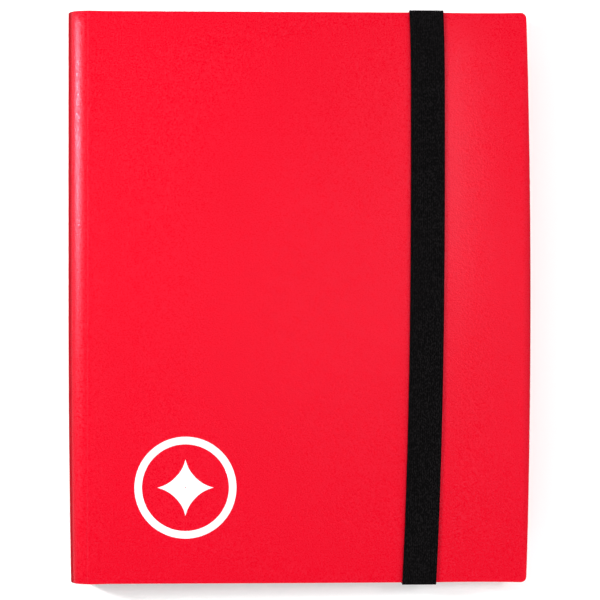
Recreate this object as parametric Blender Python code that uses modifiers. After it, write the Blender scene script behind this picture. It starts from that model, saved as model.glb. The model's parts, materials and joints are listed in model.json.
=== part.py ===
"""A trading card binder: a creased polypropylene cover, twenty nine-pocket pages and an elastic strap.

The binder lies closed on its back cover. +X runs from the spine to the fore edge, +Y to the head
of the binder and +Z out of the front cover. The origin is the bottom centre of the bounding box.
"""

import math

import bmesh
import bpy

MM = 0.001

# Cover: one sheet creased twice. The creases are the hinge lines.
COVER_HEIGHT = 318.0 * MM
COVER_WIDTH = 258.4 * MM
SHEET = 1.0 * MM
SPINE_THICKNESS = 24.0 * MM
FORE_EDGE_BOW = 1.6 * MM
FORE_CORNER_RADIUS = 3.2 * MM
FRONT_SLOPE = math.radians(1.6)
GAP = 0.3 * MM

SPINE_RADIUS = SPINE_THICKNESS / 2
CREASE_X = -COVER_WIDTH / 2 + SPINE_RADIUS
REAR_CREASE_Z = SHEET / 2
FRONT_CREASE_Z = SPINE_THICKNESS - SHEET / 2
COVER_START = SHEET / 2 + GAP

# Pages, counted from the back cover.
PAGE_COUNT = 20
PAGE_SHEET = 0.34 * MM
PAGE_HEIGHT = 300.0 * MM
PAGE_FORE_X = 116.0 * MM
PAGE_CORNER_RADIUS = 4.0 * MM
PAGE_PITCH = 1.05 * MM
PAGE_FOLD_SETBACK = 0.6 * MM
TAB_SETBACK = 0.5 * MM

# Binding: a flat liner strip across the spine's mouth, with the welded page tabs on its face.
LINER_SHEET = 1.0 * MM
BINDING_HEIGHT = PAGE_HEIGHT

# Strap: 19 mm woven elastic, riveted to the outside of the back cover at both ends.
STRAP_WIDTH = 19.0 * MM
STRAP_SHEET = 1.0 * MM
STRAP_X = 71.3 * MM
STRAP_SKEW = 4.8 * MM
STRAP_SKEW_START_Y = 20.0 * MM
STRAP_SKEW_POWER = 2.2
STRAP_BEND_RADIUS = 1.0 * MM
STRAP_TAIL_END_Y = 120.0 * MM
STRAP_TAIL_RISE = 0.8 * MM
STRAP_BAND_FOOT_Z = 4.2 * MM
STRAP_RUN_STATIONS = 12

# Rivets: a flat head and shank from outside, a ring cap inside.
RIVET_Y = 134.0 * MM
RIVET_HEAD_RADIUS = 4.0 * MM
RIVET_HEAD_HEIGHT = 0.7 * MM
RIVET_CHAMFER = 0.25 * MM
RIVET_SHANK_RADIUS = 1.5 * MM
RIVET_HOLE_RADIUS = RIVET_SHANK_RADIUS + GAP
CAP_HEIGHT = 0.7 * MM
SHANK_STANDS_INSIDE = 0.8 * MM

ARC_STEPS = 24
CORNER_STEPS = 6
HOLE_STEPS = 24
BOW_STEPS = 10

# Heights in the back cover's own frame, measured from the middle of its sheet.
TAIL_TOP = -SHEET / 2 - GAP
TAIL_BOTTOM = TAIL_TOP - STRAP_SHEET
HEAD_TOP = TAIL_BOTTOM - GAP
HEAD_BOTTOM = HEAD_TOP - RIVET_HEAD_HEIGHT
CAP_BOTTOM = SHEET / 2 + GAP
CAP_TOP = CAP_BOTTOM + CAP_HEIGHT

# The back cover rests on the rear crease and on the rivet heads, so it slopes up a little.
HEAD_NEAR_EDGE = STRAP_X - STRAP_SKEW - RIVET_HEAD_RADIUS - CREASE_X
BACK_SLOPE = math.asin((-HEAD_BOTTOM - REAR_CREASE_Z) / HEAD_NEAR_EDGE)

RED = (0.87, 0.012, 0.03)
BLACK_SHEET = (0.02, 0.02, 0.022)
BLACK_ELASTIC = (0.012, 0.012, 0.013)
STEEL = (0.32, 0.32, 0.33)


def clear_scene():
    for obj in list(bpy.data.objects):
        bpy.data.objects.remove(obj, do_unlink=True)


def make_collection(name):
    collection = bpy.data.collections.new(name)
    bpy.context.scene.collection.children.link(collection)
    return collection


def make_material(name, colour, roughness, metallic=0.0):
    material = bpy.data.materials.new(name)
    material.use_nodes = True
    shader = material.node_tree.nodes["Principled BSDF"]
    shader.inputs["Base Color"].default_value = (*colour, 1.0)
    shader.inputs["Roughness"].default_value = roughness
    shader.inputs["Metallic"].default_value = metallic
    return material


def make_frame(name, location, tilt, collection):
    """An empty on a fold line. tilt raises its +X direction."""
    frame = bpy.data.objects.new(name, None)
    collection.objects.link(frame)
    frame.location = location
    frame.rotation_euler = (0.0, -tilt, 0.0)
    return frame


def place(obj, collection, material, parent=None):
    for owner in list(obj.users_collection):
        owner.objects.unlink(obj)
    collection.objects.link(obj)
    obj.data.materials.clear()
    obj.data.materials.append(material)
    obj.parent = parent
    return obj


def arc(centre_x, centre_y, radius, start, end, steps):
    """Points along an arc, from the angle start to the angle end, in degrees."""
    points = []
    for k in range(steps + 1):
        angle = math.radians(start + (end - start) * k / steps)
        points.append((centre_x + radius * math.cos(angle), centre_y + radius * math.sin(angle)))
    return points


def outline_curve(name, loops, thickness):
    """A flat outline, with any further loops as holes, given a thickness about its plane."""
    curve = bpy.data.curves.new(name, "CURVE")
    curve.dimensions = "2D"
    curve.fill_mode = "BOTH"
    curve.extrude = thickness / 2
    for loop in loops:
        spline = curve.splines.new("POLY")
        spline.points.add(len(loop) - 1)
        for point, (x, y) in zip(spline.points, loop):
            point.co = (x, y, 0.0, 1.0)
        spline.use_cyclic_u = True
    return bpy.data.objects.new(name, curve)


def mesh_from_curve(obj):
    """The same shape as a closed mesh, so that it can be cut."""
    bpy.context.scene.collection.objects.link(obj)
    bpy.context.view_layer.update()
    evaluated = obj.evaluated_get(bpy.context.evaluated_depsgraph_get())
    mesh = bpy.data.meshes.new_from_object(evaluated)
    work = bmesh.new()
    work.from_mesh(mesh)
    bmesh.ops.remove_doubles(work, verts=work.verts, dist=0.001 * MM)
    work.to_mesh(mesh)
    work.free()
    name = obj.name
    matrix = obj.matrix_world.copy()
    bpy.data.objects.remove(obj, do_unlink=True)
    made = bpy.data.objects.new(name, mesh)
    made.matrix_world = matrix
    return made


def cut_with(obj, cutter, cutters):
    cutter.hide_render = True
    cutter.display_type = "WIRE"
    place_helper(cutter, cutters)
    boolean = obj.modifiers.new("cut", "BOOLEAN")
    boolean.operation = "DIFFERENCE"
    boolean.solver = "EXACT"
    boolean.object = cutter


def place_helper(obj, collection):
    for owner in list(obj.users_collection):
        owner.objects.unlink(obj)
    collection.objects.link(obj)


def turned(name, profile, closed):
    """A body turned about its own Z, from a profile that runs down its outer side."""
    mesh = bpy.data.meshes.new(name)
    edges = [(k, k + 1) for k in range(len(profile) - 1)]
    if closed:
        edges.append((len(profile) - 1, 0))
    mesh.from_pydata([(r, 0.0, z) for r, z in profile], edges, [])
    obj = bpy.data.objects.new(name, mesh)
    screw = obj.modifiers.new("turn", "SCREW")
    screw.axis = "Z"
    screw.steps = HOLE_STEPS
    screw.render_steps = HOLE_STEPS
    screw.use_merge_vertices = True
    screw.merge_threshold = 0.001 * MM
    return obj


def cover_outline(reach):
    """A cover panel from its crease edge to its bowed fore edge, with rounded fore corners."""
    half = COVER_HEIGHT / 2
    radius = FORE_CORNER_RADIUS
    corner_x = reach - FORE_EDGE_BOW
    points = [(COVER_START, half), (COVER_START, -half)]
    points += arc(corner_x - radius, -half + radius, radius, -90.0, 0.0, CORNER_STEPS)
    straight = half - radius
    for k in range(1, BOW_STEPS):
        y = -straight + 2 * straight * k / BOW_STEPS
        points.append((reach - FORE_EDGE_BOW * (y / straight) ** 2, y))
    points += arc(corner_x - radius, half - radius, radius, 0.0, 90.0, CORNER_STEPS)
    return points


def circle(centre_x, centre_y, radius):
    """A full loop, without the repeated last point."""
    return arc(centre_x, centre_y, radius, 0.0, 360.0, HOLE_STEPS)[:-1]


def strap_shift(y):
    """How far the strap has drifted towards the spine at this height."""
    drop = max(0.0, STRAP_SKEW_START_Y - y) / (STRAP_SKEW_START_Y + COVER_HEIGHT / 2)
    return STRAP_SKEW * min(1.0, drop) ** STRAP_SKEW_POWER


def strap_ends():
    """(name, side, x) for the head and tail ends of the strap."""
    half = COVER_HEIGHT / 2
    return [("top", 1, STRAP_X - strap_shift(half)), ("bottom", -1, STRAP_X - strap_shift(-half))]


def build_covers(parts, plastic):
    rear = make_frame("rear_crease", (CREASE_X, 0.0, REAR_CREASE_Z), BACK_SLOPE, parts)
    front = make_frame("front_crease", (CREASE_X, 0.0, FRONT_CREASE_Z), -FRONT_SLOPE, parts)
    holes = [
        circle((x - CREASE_X) / math.cos(BACK_SLOPE), side * RIVET_Y, RIVET_HOLE_RADIUS)
        for _, side, x in strap_ends()
    ]
    back_reach = COVER_WIDTH - SPINE_RADIUS
    front_reach = back_reach / math.cos(FRONT_SLOPE)
    back = outline_curve("back_cover", [cover_outline(back_reach), *holes], SHEET)
    place(back, parts, plastic, rear)
    cover = outline_curve("front_cover", [cover_outline(front_reach)], SHEET)
    place(cover, parts, plastic, front)
    return rear


def build_spine(parts, plastic):
    """Half a tube between the creases, its two edges rounded about the crease lines."""
    frame = make_frame("spine_crease", (CREASE_X, 0.0, REAR_CREASE_Z), 0.0, parts)
    middle = SPINE_RADIUS - REAR_CREASE_Z
    outer = arc(0.0, middle, SPINE_RADIUS, 90.0, 270.0, ARC_STEPS)
    rear_edge = arc(0.0, 0.0, SHEET / 2, -90.0, 90.0, CORNER_STEPS)[1:-1]
    inner = arc(0.0, middle, SPINE_RADIUS - SHEET, 270.0, 90.0, ARC_STEPS)
    front_edge = arc(0.0, 2 * middle, SHEET / 2, -90.0, 90.0, CORNER_STEPS)[1:-1]
    spine = outline_curve("spine", [outer + rear_edge + inner + front_edge], COVER_HEIGHT)
    place(spine, parts, plastic, frame)
    spine.rotation_euler = (math.radians(90.0), 0.0, 0.0)
    return frame


def build_liner(parts, plastic, frame):
    """The flat strip that closes the spine's mouth and carries the pages."""
    bpy.ops.mesh.primitive_cube_add(size=1.0)
    liner = bpy.context.object
    liner.name = "spine_liner"
    height = SPINE_THICKNESS - 2 * SHEET - 2 * GAP
    liner.data.transform(_scaling(LINER_SHEET, BINDING_HEIGHT, height))
    place(liner, parts, plastic, frame)
    liner.location = (0.0, 0.0, SPINE_RADIUS - REAR_CREASE_Z)


def _scaling(x, y, z):
    return ((x, 0, 0, 0), (0, y, 0, 0), (0, 0, z, 0), (0, 0, 0, 1))


def page_fold(index):
    """(x, z) of a page's fold line. The folds step inwards towards the middle page."""
    stack = PAGE_COUNT * PAGE_PITCH
    z = SPINE_RADIUS - stack / 2 + (index + 0.5) * PAGE_PITCH
    depth = min(z - REAR_CREASE_Z, FRONT_CREASE_Z - z)
    return CREASE_X + depth + PAGE_FOLD_SETBACK, z


def build_binding(parts, plastic, frame):
    """The pages' tabs, welded into one stepped stack."""
    base = LINER_SHEET / 2 + GAP
    steps = []
    for index in range(PAGE_COUNT):
        fold_x, fold_z = page_fold(index)
        reach = fold_x - CREASE_X - TAB_SETBACK
        low = fold_z - PAGE_PITCH / 2 - REAR_CREASE_Z
        steps += [(reach, low), (reach, low + PAGE_PITCH)]
    bottom = steps[0][1]
    top = steps[-1][1]
    profile = [(base, top), (base, bottom)]
    for point in steps:
        if math.dist(point, profile[-1]) > 0.01 * MM:
            profile.append(point)
    binding = outline_curve("page_binding", [profile], BINDING_HEIGHT)
    place(binding, parts, plastic, frame)
    binding.rotation_euler = (math.radians(90.0), 0.0, 0.0)


def page_fore_heights():
    """(lowest, highest) page height at the fore edge, between the rivet caps and the front cover."""
    run = STRAP_X - CREASE_X
    cap = REAR_CREASE_Z + run * math.sin(BACK_SLOPE) + CAP_TOP
    fold_x, fold_z = page_fold(0)
    clear = cap + GAP + PAGE_SHEET / 2
    slope = (clear - fold_z) / (STRAP_X - fold_x)
    lowest = fold_z + slope * (PAGE_FORE_X - fold_x)
    cover = FRONT_CREASE_Z - (PAGE_FORE_X - CREASE_X) * math.tan(FRONT_SLOPE) - SHEET / 2
    return lowest, cover - GAP - PAGE_SHEET / 2


def build_pages(parts, plastic):
    lowest, highest = page_fore_heights()
    half = PAGE_HEIGHT / 2
    radius = PAGE_CORNER_RADIUS
    for index in range(PAGE_COUNT):
        fold_x, fold_z = page_fold(index)
        fore_z = lowest + (highest - lowest) * index / (PAGE_COUNT - 1)
        tilt = math.atan2(fore_z - fold_z, PAGE_FORE_X - fold_x)
        length = math.hypot(fore_z - fold_z, PAGE_FORE_X - fold_x)
        name = f"page_{index + 1:02d}"
        fold = make_frame(f"{name}_fold", (fold_x, 0.0, fold_z), tilt, parts)
        outline = [(0.0, half), (0.0, -half)]
        outline += arc(length - radius, -half + radius, radius, -90.0, 0.0, CORNER_STEPS)
        outline += arc(length - radius, half - radius, radius, 0.0, 90.0, CORNER_STEPS)
        place(outline_curve(name, [outline], PAGE_SHEET), parts, plastic, fold)


def tail_profile():
    """The strap's fixed end seen along X: under the cover, round its edge and a little way up."""
    inner_y = COVER_HEIGHT / 2 + GAP
    outer_y = inner_y + STRAP_SHEET
    outer_bend = STRAP_BEND_RADIUS + STRAP_SHEET / 2
    inner_bend = outer_bend - STRAP_SHEET
    bend_y = outer_y - outer_bend
    bend_z = TAIL_BOTTOM + outer_bend
    points = [(STRAP_TAIL_END_Y, TAIL_TOP), (STRAP_TAIL_END_Y, TAIL_BOTTOM)]
    points += arc(bend_y, bend_z, outer_bend, -90.0, 0.0, CORNER_STEPS)
    points += [(outer_y, STRAP_TAIL_RISE), (inner_y, STRAP_TAIL_RISE)]
    points += arc(bend_y, bend_z, inner_bend, 0.0, -90.0, CORNER_STEPS)
    return points


def build_strap_tails(parts, cutters, elastic, rear):
    for name, side, x in strap_ends():
        along = (x - CREASE_X) / math.cos(BACK_SLOPE)
        profile = [(side * y, z) for y, z in tail_profile()]
        tail = outline_curve(f"strap_tail_{name}", [profile], STRAP_WIDTH)
        tail.rotation_euler = (math.radians(90.0), 0.0, math.radians(90.0))
        tail = mesh_from_curve(tail)
        tail.data.transform(tail.matrix_world)
        tail.matrix_world.identity()
        place(tail, parts, elastic, rear)
        tail.location = (along, 0.0, 0.0)
        hole = bpy.data.meshes.new(f"strap_hole_{name}")
        work = bmesh.new()
        bmesh.ops.create_cone(
            work,
            cap_ends=True,
            segments=HOLE_STEPS,
            radius1=RIVET_HOLE_RADIUS,
            radius2=RIVET_HOLE_RADIUS,
            depth=4 * STRAP_SHEET,
        )
        work.to_mesh(hole)
        work.free()
        cutter = bpy.data.objects.new(f"strap_hole_{name}", hole)
        cut_with(tail, cutter, cutters)
        cutter.parent = rear
        cutter.location = (along, side * RIVET_Y, (TAIL_TOP + TAIL_BOTTOM) / 2)


def build_rivets(parts, metal, rear):
    head_inside = RIVET_HEAD_RADIUS - RIVET_CHAMFER
    rivet_profile = [
        (0.0, SHEET / 2 + SHANK_STANDS_INSIDE),
        (RIVET_SHANK_RADIUS, SHEET / 2 + SHANK_STANDS_INSIDE),
        (RIVET_SHANK_RADIUS, HEAD_TOP),
        (RIVET_HEAD_RADIUS, HEAD_TOP),
        (RIVET_HEAD_RADIUS, HEAD_BOTTOM + RIVET_CHAMFER),
        (head_inside, HEAD_BOTTOM),
        (0.0, HEAD_BOTTOM),
    ]
    cap_profile = [
        (RIVET_HOLE_RADIUS, CAP_TOP),
        (head_inside, CAP_TOP),
        (RIVET_HEAD_RADIUS, CAP_TOP - RIVET_CHAMFER),
        (RIVET_HEAD_RADIUS, CAP_BOTTOM),
        (RIVET_HOLE_RADIUS, CAP_BOTTOM),
    ]
    for name, side, x in strap_ends():
        along = (x - CREASE_X) / math.cos(BACK_SLOPE)
        shapes = (("strap_rivet", rivet_profile, False), ("rivet_cap", cap_profile, True))
        for kind, profile, closed in shapes:
            piece = turned(f"{kind}_{name}", profile, closed)
            place(piece, parts, metal, rear)
            piece.location = (along, side * RIVET_Y, 0.0)


def band_path():
    """(y, drop) along the moving band's middle. drop is the distance below the front run, or None at a foot."""
    edge_y = COVER_HEIGHT / 2 + GAP + STRAP_SHEET / 2
    bend = STRAP_BEND_RADIUS
    run_end = edge_y - bend
    head = [(edge_y, None)]
    for y, drop in arc(run_end, bend, bend, 0.0, -90.0, CORNER_STEPS):
        head.append((y, drop))
    run = [
        (run_end - 2 * run_end * k / STRAP_RUN_STATIONS, 0.0) for k in range(1, STRAP_RUN_STATIONS)
    ]
    foot = [(-y, drop) for y, drop in reversed(head)]
    return head + run + foot


def build_strap_band(parts, elastic):
    """The front run and its two legs, as one ribbon that follows the sloping front cover."""
    lift = SHEET / 2 + GAP + STRAP_SHEET / 2
    points = []
    for y, drop in band_path():
        middle = STRAP_X - strap_shift(y)
        for x in (middle - STRAP_WIDTH / 2, middle + STRAP_WIDTH / 2):
            run_z = FRONT_CREASE_Z - (x - CREASE_X) * math.tan(FRONT_SLOPE) + lift
            points.append((x, y, STRAP_BAND_FOOT_Z if drop is None else run_z - drop))
    stations = len(points) // 2
    faces = [(2 * k, 2 * k + 2, 2 * k + 3, 2 * k + 1) for k in range(stations - 1)]
    mesh = bpy.data.meshes.new("strap_band")
    mesh.from_pydata(points, [], faces)
    band = bpy.data.objects.new("strap_band", mesh)
    solid = band.modifiers.new("thickness", "SOLIDIFY")
    solid.thickness = STRAP_SHEET
    solid.offset = 0.0
    solid.use_even_offset = True
    place(band, parts, elastic)


def main():
    clear_scene()
    parts = make_collection("trading_card_binder")
    cutters = make_collection("cutters")
    cover_plastic = make_material("cover_polypropylene", RED, 0.42)
    page_plastic = make_material("page_polypropylene", BLACK_SHEET, 0.3)
    elastic = make_material("woven_elastic", BLACK_ELASTIC, 0.85)
    metal = make_material("blackened_steel", STEEL, 0.35, metallic=1.0)
    rear = build_covers(parts, cover_plastic)
    spine = build_spine(parts, cover_plastic)
    build_liner(parts, page_plastic, spine)
    build_binding(parts, page_plastic, spine)
    build_pages(parts, page_plastic)
    build_strap_tails(parts, cutters, elastic, rear)
    build_rivets(parts, metal, rear)
    build_strap_band(parts, elastic)


main()
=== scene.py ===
"""Dresses a trading card binder for the studio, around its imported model.

The binder lies closed on its back cover: +X runs from the spine to the fore edge, +Y to the head
and +Z out of the front cover. Each sub-assembly is a class that takes its places from the frame.
"""

import json
import logging
import math
from collections.abc import Callable, Mapping, Sequence
from dataclasses import dataclass, field
from enum import Enum

import bmesh
import bpy
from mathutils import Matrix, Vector


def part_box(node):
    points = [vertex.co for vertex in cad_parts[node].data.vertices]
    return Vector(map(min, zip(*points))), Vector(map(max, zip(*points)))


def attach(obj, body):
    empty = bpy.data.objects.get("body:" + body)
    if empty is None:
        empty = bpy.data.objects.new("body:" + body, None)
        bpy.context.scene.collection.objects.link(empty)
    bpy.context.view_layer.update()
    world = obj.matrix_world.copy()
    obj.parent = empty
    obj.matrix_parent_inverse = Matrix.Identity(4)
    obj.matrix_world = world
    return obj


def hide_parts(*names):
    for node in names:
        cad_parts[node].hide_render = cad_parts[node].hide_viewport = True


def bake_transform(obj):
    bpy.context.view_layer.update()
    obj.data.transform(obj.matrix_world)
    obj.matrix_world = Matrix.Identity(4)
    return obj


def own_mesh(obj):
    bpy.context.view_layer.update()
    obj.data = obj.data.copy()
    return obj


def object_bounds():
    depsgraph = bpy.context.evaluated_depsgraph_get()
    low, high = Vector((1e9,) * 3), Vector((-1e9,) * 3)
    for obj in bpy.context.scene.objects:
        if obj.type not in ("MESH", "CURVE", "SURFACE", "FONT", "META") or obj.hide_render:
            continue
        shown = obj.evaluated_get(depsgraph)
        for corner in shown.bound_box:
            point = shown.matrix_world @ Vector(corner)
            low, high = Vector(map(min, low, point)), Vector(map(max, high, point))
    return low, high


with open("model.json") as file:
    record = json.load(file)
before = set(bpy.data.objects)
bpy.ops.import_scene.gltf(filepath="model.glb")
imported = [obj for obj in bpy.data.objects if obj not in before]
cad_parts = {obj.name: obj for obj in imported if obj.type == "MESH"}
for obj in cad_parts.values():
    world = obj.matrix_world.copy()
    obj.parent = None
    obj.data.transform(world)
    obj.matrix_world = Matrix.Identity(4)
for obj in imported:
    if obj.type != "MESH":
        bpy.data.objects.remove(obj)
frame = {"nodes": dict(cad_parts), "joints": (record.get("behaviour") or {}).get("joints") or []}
CAD_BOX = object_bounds()

MM = 0.001
PLACE = "rest_place"
SAME_POINT = 0.0005 * MM
LOG = logging.getLogger("card_binder")

Colour = tuple[float, float, float]
Stop = tuple[float, Colour]
Spot = tuple[Vector, Vector]
Grid = list[list[Spot]]


class Slot(Enum):
    """The record's material slots."""

    COVER = "cover"
    PAGE = "page_sheet"
    ELASTIC = "elastic"
    RIVET = "rivet"
    PRINT = "print"


class Body(Enum):
    """The rigid bodies that pieces ride on, apart from the pages."""

    BACK = "back_cover"
    SPINE = "spine"
    FRONT = "front_cover"
    STRAP = "strap"


class Stretch(Enum):
    """The stretches of the closing strap, from the middle of its front run to its fixed end."""

    RUN = "over the front cover"
    UPPER_BEND = "round the front cover's edge"
    LEG = "across the page block"
    LOWER_BEND = "round the back cover's edge"
    TAIL = "under the back cover"


def smooth(share: float) -> float:
    """A smooth step from 0 to 1 as share goes from 0 to 1."""
    share = max(0.0, min(1.0, share))
    return share * share * (3.0 - 2.0 * share)


def spread(start: float, end: float, count: int) -> list[float]:
    """count + 1 evenly spaced numbers from start to end, both included."""
    return [start + (end - start) * k / count for k in range(count + 1)]


def round_corner(radius: float, steps: int) -> list[tuple[float, float]]:
    """(distance past the straight, inset from the edge) of each point after the straight's end."""
    turns = spread(0.0, math.pi / 2, steps)[1:]
    return [(radius * math.sin(a), radius * (1.0 - math.cos(a))) for a in turns]


def full_turn(steps: int) -> list[float]:
    """The angles of that many even steps round a circle."""
    return [math.tau * k / steps for k in range(steps)]


def hinge_line(joint: str) -> Vector:
    """The point where a joint's axis crosses the middle of the binder's height."""
    return Vector(next(j["pos_m"] for j in frame["joints"] if j["name"] == joint))


# Shader tools


class Wire:
    """A shader value. Arithmetic on it adds Math nodes."""

    def __init__(self, surface: "Surface", socket: bpy.types.NodeSocket) -> None:
        """Wraps one output socket of a surface's nodes."""
        self.surface = surface
        self.socket = socket

    def _math(self, operation: str, *values: "Wire | float") -> "Wire":
        """Adds one Math node and returns its value."""
        return self.surface.add("ShaderNodeMath", {"operation": operation}, dict(enumerate(values)))

    def __add__(self, other: "Wire | float") -> "Wire":
        """self + other."""
        return self._math("ADD", self, other)

    __radd__ = __add__

    def __sub__(self, other: "Wire | float") -> "Wire":
        """self - other."""
        return self._math("SUBTRACT", self, other)

    def __rsub__(self, other: float) -> "Wire":
        """other - self."""
        return self._math("SUBTRACT", other, self)

    def __mul__(self, other: "Wire | float") -> "Wire":
        """self * other."""
        return self._math("MULTIPLY", self, other)

    __rmul__ = __mul__

    def distance_to(self, value: float) -> "Wire":
        """How far the value lies from a number."""
        return self._math("ABSOLUTE", self - value)

    def sine(self) -> "Wire":
        """The sine of the value."""
        return self._math("SINE", self)

    def lesser(self, other: "Wire") -> "Wire":
        """The smaller of two values."""
        return self._math("MINIMUM", self, other)

    def between(self, low: float, high: float) -> "Wire":
        """A smooth mask that is 0 at low and 1 at high."""
        return self.surface.add(
            "ShaderNodeMapRange",
            {"interpolation_type": "SMOOTHSTEP"},
            {"Value": self, "From Min": low, "From Max": high},
        )


Input = Wire | float | Sequence[float]


class Surface:
    """One material, built node by node around its Principled shader."""

    def __init__(self, name: str) -> None:
        """Starts a material with that name."""
        self.material = bpy.data.materials.new(name)
        self.material.use_nodes = True
        self.tree = self.material.node_tree
        self.shader = self.tree.nodes["Principled BSDF"]

    def feed(self, socket: bpy.types.NodeSocket, value: Input) -> None:
        """Links a wire to a socket, or sets the socket to a number, vector or colour.

        Args:
            socket: The input socket.
            value: What it takes. A colour of three numbers gets an alpha of 1.
        """
        if isinstance(value, Wire):
            self.tree.links.new(value.socket, socket)
        elif socket.type == "RGBA":
            socket.default_value = (*value, 1.0)
        else:
            socket.default_value = value

    def add(
        self,
        kind: str,
        settings: Mapping[str, object],
        sockets: Mapping[str | int, Input],
        output: str | int = 0,
    ) -> Wire:
        """Adds one node.

        Args:
            kind: The node's type.
            settings: Its own settings, which are set first. "stops" fills a colour ramp.
            sockets: What its input sockets take, by name or place.
            output: The output that the result stands for.

        Returns:
            The wire from that output.
        """
        node = self.tree.nodes.new(kind)
        for name, value in settings.items():
            if name == "stops":
                self._fill_ramp(node.color_ramp, value)
            else:
                setattr(node, name, value)
        for name, value in sockets.items():
            self.feed(node.inputs[name], value)
        return Wire(self, node.outputs[output])

    @staticmethod
    def _fill_ramp(ramp: bpy.types.ColorRamp, stops: Sequence[Stop]) -> None:
        """Gives a colour ramp its stops."""
        while len(ramp.elements) < len(stops):
            ramp.elements.new(1.0)
        for element, (place, colour) in zip(ramp.elements, stops):
            element.position = place
            element.color = (*colour, 1.0)

    def place(self) -> Wire:
        """The point's place on the flat sheet that the piece was made from, in metres."""
        return self.add("ShaderNodeAttribute", {"attribute_name": PLACE}, {}, "Vector")

    def axis(self, name: str) -> Wire:
        """One coordinate of the place: "X", "Y" or "Z"."""
        return self.add("ShaderNodeSeparateXYZ", {}, {0: self.place()}, name)

    def noise(
        self, scale: float, detail: float = 2.0, stretch: Sequence[float] = (1.0, 1.0, 1.0)
    ) -> Wire:
        """Noise of about 0.5 on average, repeating scale times in a metre of the stretched place."""
        where = self.add(
            "ShaderNodeVectorMath", {"operation": "MULTIPLY"}, {0: self.place(), 1: stretch}
        )
        return self.add(
            "ShaderNodeTexNoise", {}, {"Vector": where, "Scale": scale, "Detail": detail}
        )

    def mix(self, mask: Input, first: Input, second: Input) -> Wire:
        """Mixes two colours: a mask of 0 gives the first and 1 the second."""
        return self.add("ShaderNodeMix", {"data_type": "RGBA"}, {0: mask, 6: first, 7: second}, 2)

    def bump(self, height: Wire, depth: float, strength: float) -> None:
        """Adds a relief to the surface, over any that it has.

        Args:
            height: The relief's height, 0 to 1.
            depth: The height of 1, in metres.
            strength: The share of the relief that shows.
        """
        sockets: dict[str | int, Input] = {"Height": height, "Distance": depth, "Strength": strength}
        normal = self.shader.inputs["Normal"]
        if normal.is_linked:
            sockets["Normal"] = Wire(self, normal.links[0].from_socket)
        self.feed(normal, self.add("ShaderNodeBump", {}, sockets))

    def dull(self, mask: Wire, colour: Input) -> None:
        """Turns the surface matt in one place.

        Args:
            mask: 1 where it is matt.
            colour: Its colour there.
        """
        matt = self.add(
            "ShaderNodeBsdfPrincipled",
            {},
            {"Base Color": colour, "Roughness": 1.0, "Specular IOR Level": 0.0},
        )
        glossy = Wire(self, self.shader.outputs[0])
        both = self.add("ShaderNodeMixShader", {}, {0: mask, 1: glossy, 2: matt})
        self.feed(self.tree.nodes["Material Output"].inputs["Surface"], both)

    def finish(self, **values: Input) -> bpy.types.Material:
        """Sets the shader's sockets.

        Args:
            values: Each socket's value by its name, with _ for a space.

        Returns:
            The material.
        """
        for name, value in values.items():
            self.feed(self.shader.inputs[name.replace("_", " ")], value)
        return self.material


# Finishes


@dataclass(frozen=True)
class CoverPlastic:
    """Red polypropylene sheet with a fine sand grain. On the spine's back it is matt and painted
    darker, as painted shade.

    On the spine the place's Z is the angle round it, in thousandths: a millimetre is a radian.
    """

    name: str = "cover_polypropylene"
    red: Colour = (0.640, 0.0007, 0.0130)
    deep_red: Colour = (0.590, 0.0003, 0.0095)
    # painted shade: the dark red painted on the spine's back
    painted_spine_shade: Colour = (0.225, 0.0004, 0.0040)
    crease_red: Colour = (0.68, 0.0085, 0.029)
    crease_width: float = 1.1 * MM
    grain: float = 1350.0
    grain_depth: float = 0.20 * MM
    roughness: float = 0.335
    roughness_swing: float = 0.7
    matt_shade_turn: tuple[float, float] = (0.68 * MM, 0.90 * MM)
    matt_shade_share: float = 0.9
    painted_shade_end: float = 1.35 * MM
    painted_shade_share: float = 0.35
    speckle_share: float = 0.55
    crease_share: float = 0.15

    def material(self) -> bpy.types.Material:
        """Builds the material."""
        surface = Surface(self.name)
        grain = surface.noise(self.grain, 2.0)
        coarse = surface.noise(self.grain / 2.3, 1.0)
        cloud = surface.noise(14.0, 3.0)
        scuff = surface.noise(55.0, 4.0, (1.0, 0.16, 1.0)).between(0.62, 0.80)
        turn = surface.axis("Z").distance_to(math.pi * MM)
        # masks for the spine's back, where the colour is painted darker as painted shade, fading out
        # towards its shoulders
        back = 1.0 - turn.between(*self.matt_shade_turn)
        painted_shade_mask = 1.0 - turn.between(self.matt_shade_turn[0], self.painted_shade_end)
        tone = surface.mix(cloud.between(0.25, 0.75) * 0.30, self.red, self.deep_red)
        speckle = grain.between(0.50, 0.68) * self.speckle_share
        speckled = surface.mix(speckle, tone, self.crease_red)
        crease = 1.0 - surface.axis("X").between(0.3 * MM, self.crease_width)
        worn = surface.mix(crease * self.crease_share, speckled, self.crease_red)
        colour = surface.mix(painted_shade_mask * self.painted_shade_share, worn, self.painted_spine_shade)
        surface.bump(grain * 0.6 + coarse * 0.4, self.grain_depth, 0.8)
        surface.bump(cloud, 0.5 * MM, 0.12)
        rough = self.roughness + (grain - 0.5) * self.roughness_swing - scuff * 0.02
        # painted shade: the matt patch on the spine's back takes the dark red too
        matt = surface.mix(cloud * 0.3, self.painted_spine_shade, self.deep_red)
        surface.dull(back * self.matt_shade_share, matt)
        return surface.finish(
            Base_Color=colour,
            Roughness=rough,
            Specular_IOR_Level=0.27,
            Specular_Tint=(0.95, 0.76, 1.0),
            IOR=1.49,
        )


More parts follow.
